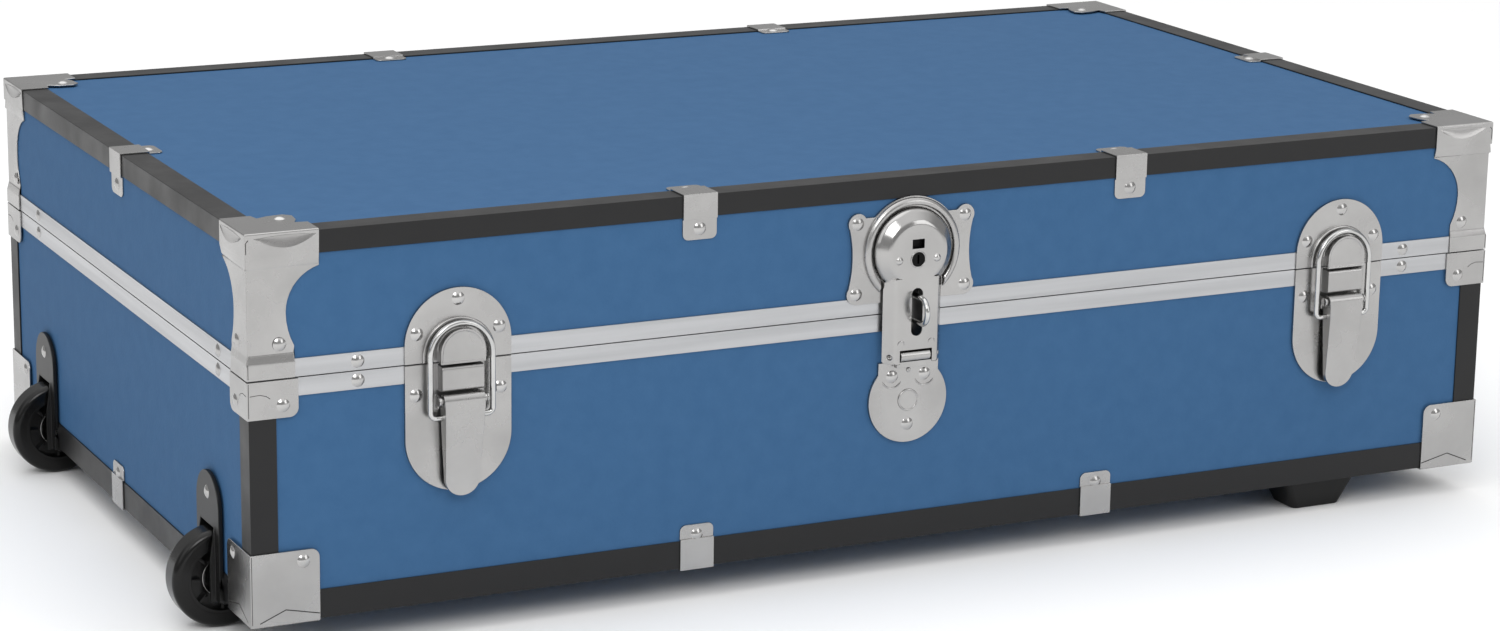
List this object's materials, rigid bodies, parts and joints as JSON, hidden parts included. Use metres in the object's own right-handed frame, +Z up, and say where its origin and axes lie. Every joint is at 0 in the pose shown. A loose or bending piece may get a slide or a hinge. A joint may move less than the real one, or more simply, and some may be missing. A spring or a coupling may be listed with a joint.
{
  "type": "footlocker",
  "caption": "Low wheeled footlocker of vinyl-faced board with metal edge bindings, hinged lid, draw latches and a padlock hasp.",
  "frame": {"origin": "centre of the footprint's bounding box, on the floor the wheels and feet stand on", "axes": "+X along the case towards the end handle, -Y out of the front with its latches, +Z up"},
  "size_m": [0.8298, 0.4943, 0.2336],
  "materials": {
    "vinyl_board": "plywood faced with blue grained vinyl",
    "lining": "matt printed lining paper",
    "black_binding": "satin black",
    "rim_band": "satin, drawn lengthwise",
    "pressed_steel": "nickel plate, satin",
    "rivet": "bright nickel",
    "wire": "bright plated wire",
    "pin_steel": "bright steel",
    "lock_works": "dull zinc",
    "housing": "moulded, satin",
    "hub": "moulded, gloss",
    "tyre": "hard, polished",
    "foot": "moulded, matt",
    "grip": "moulded, matt"
  },
  "bodies": {
    "base": {"base_bottom_panel": "vinyl_board", "base_front_panel": "vinyl_board", "base_back_panel": "vinyl_board", "base_left_panel": "vinyl_board", "base_right_panel": "vinyl_board", "base_lining": "lining", "base_bottom_binding": "black_binding", "base_corner_binding": "black_binding", "base_rim_band": "rim_band", "base_rim_corners": "pressed_steel", "base_bottom_corners": "pressed_steel", "base_edge_clamps": "pressed_steel", "base_rivets": "rivet", "wheel_housing_front": "housing", "wheel_housing_back": "housing", "wheel_axles": "pin_steel", "foot_front": "foot", "foot_back": "foot", "foot_screws": "rivet", "latch_plate_left": "pressed_steel", "latch_plate_right": "pressed_steel", "latch_pin_left": "pin_steel", "latch_pin_right": "pin_steel", "lock_lower_plate": "pressed_steel", "lock_hasp_pin": "pin_steel", "hinge_base_leaves": "pressed_steel", "hinge_pins": "pin_steel", "handle_brackets": "pressed_steel"},
    "lid": {"lid_top_panel": "vinyl_board", "lid_front_panel": "vinyl_board", "lid_back_panel": "vinyl_board", "lid_left_panel": "vinyl_board", "lid_right_panel": "vinyl_board", "lid_lining": "lining", "lid_edge_binding": "black_binding", "lid_rim_band": "rim_band", "lid_corners": "pressed_steel", "lid_edge_clamps": "pressed_steel", "lid_rivets": "rivet", "latch_keeper_left": "pressed_steel", "latch_keeper_right": "pressed_steel", "lock_upper_plate": "pressed_steel", "lock_staple": "wire", "hinge_lid_leaves": "pressed_steel"},
    "lever_left": {"latch_lever_left": "pressed_steel"},
    "bail_left": {"latch_bail_left": "wire"},
    "lever_right": {"latch_lever_right": "pressed_steel"},
    "bail_right": {"latch_bail_right": "wire"},
    "hasp": {"lock_hasp": "pressed_steel", "lock_case": "lock_works", "lock_case_rivets": "rivet"},
    "plug": {"lock_plug": "lock_works"},
    "bolt": {"lock_bolt": "lock_works"},
    "wheel_front": {"wheel_hub_front": "hub", "wheel_tyre_front": "tyre"},
    "wheel_back": {"wheel_hub_back": "hub", "wheel_tyre_back": "tyre"},
    "handle": {"handle_wire": "wire", "handle_grip": "grip"}
  },
  "joints": [
    {"name": "lid_hinge", "type": "hinge", "parent": "base", "child": "lid", "pos_m": [0.00375, 0.24395, 0.1531], "axis": [-1, 0, 0], "range_deg": [0, 100]},
    {"name": "lever_left_turn", "type": "hinge", "parent": "base", "child": "lever_left", "pos_m": [-0.27255, -0.23145, 0.1331], "axis": [-1, 0, 0], "range_deg": [0, 130]},
    {"name": "bail_left_turn", "type": "hinge", "parent": "lever_left", "child": "bail_left", "pos_m": [-0.27255, -0.22955, 0.1235], "axis": [-1, 0, 0], "range_deg": [-156, 0]},
    {"name": "lever_right_turn", "type": "hinge", "parent": "base", "child": "lever_right", "pos_m": [0.29145, -0.23145, 0.1331], "axis": [-1, 0, 0], "range_deg": [0, 130]},
    {"name": "bail_right_turn", "type": "hinge", "parent": "lever_right", "child": "bail_right", "pos_m": [0.29145, -0.22955, 0.1235], "axis": [-1, 0, 0], "range_deg": [-156, 0]},
    {"name": "hasp_hinge", "type": "hinge", "parent": "base", "child": "hasp", "pos_m": [0.00085, -0.23055, 0.129], "axis": [1, 0, 0], "range_deg": [0, 145]},
    {"name": "key_turn", "type": "hinge", "parent": "hasp", "child": "plug", "pos_m": [0.00085, -0.23005, 0.1852], "axis": [0, 1, 0], "range_deg": [0, 90]},
    {"name": "bolt_slide", "type": "slide", "parent": "hasp", "child": "bolt", "axis": [0, 0, 1], "range_m": [0, 0.004]},
    {"name": "wheel_front_spin", "type": "hinge", "parent": "base", "child": "wheel_front", "pos_m": [-0.38695, -0.15805, 0.028], "axis": [0, 1, 0], "continuous": true},
    {"name": "wheel_back_spin", "type": "hinge", "parent": "base", "child": "wheel_back", "pos_m": [-0.38695, 0.16095, 0.028], "axis": [0, 1, 0], "continuous": true},
    {"name": "handle_swing", "type": "hinge", "parent": "base", "child": "handle", "pos_m": [0.40695, 0.0077, 0.1185], "axis": [0, -1, 0], "range_deg": [0, 95]}
  ],
  "couplings": [
    {"joint": "bail_left_turn", "follows": "lever_left_turn", "ratio": -1.2},
    {"joint": "bail_right_turn", "follows": "lever_right_turn", "ratio": -1.2},
    {"joint": "bolt_slide", "follows": "key_turn", "m_per_rad": 0.0025}
  ]
}
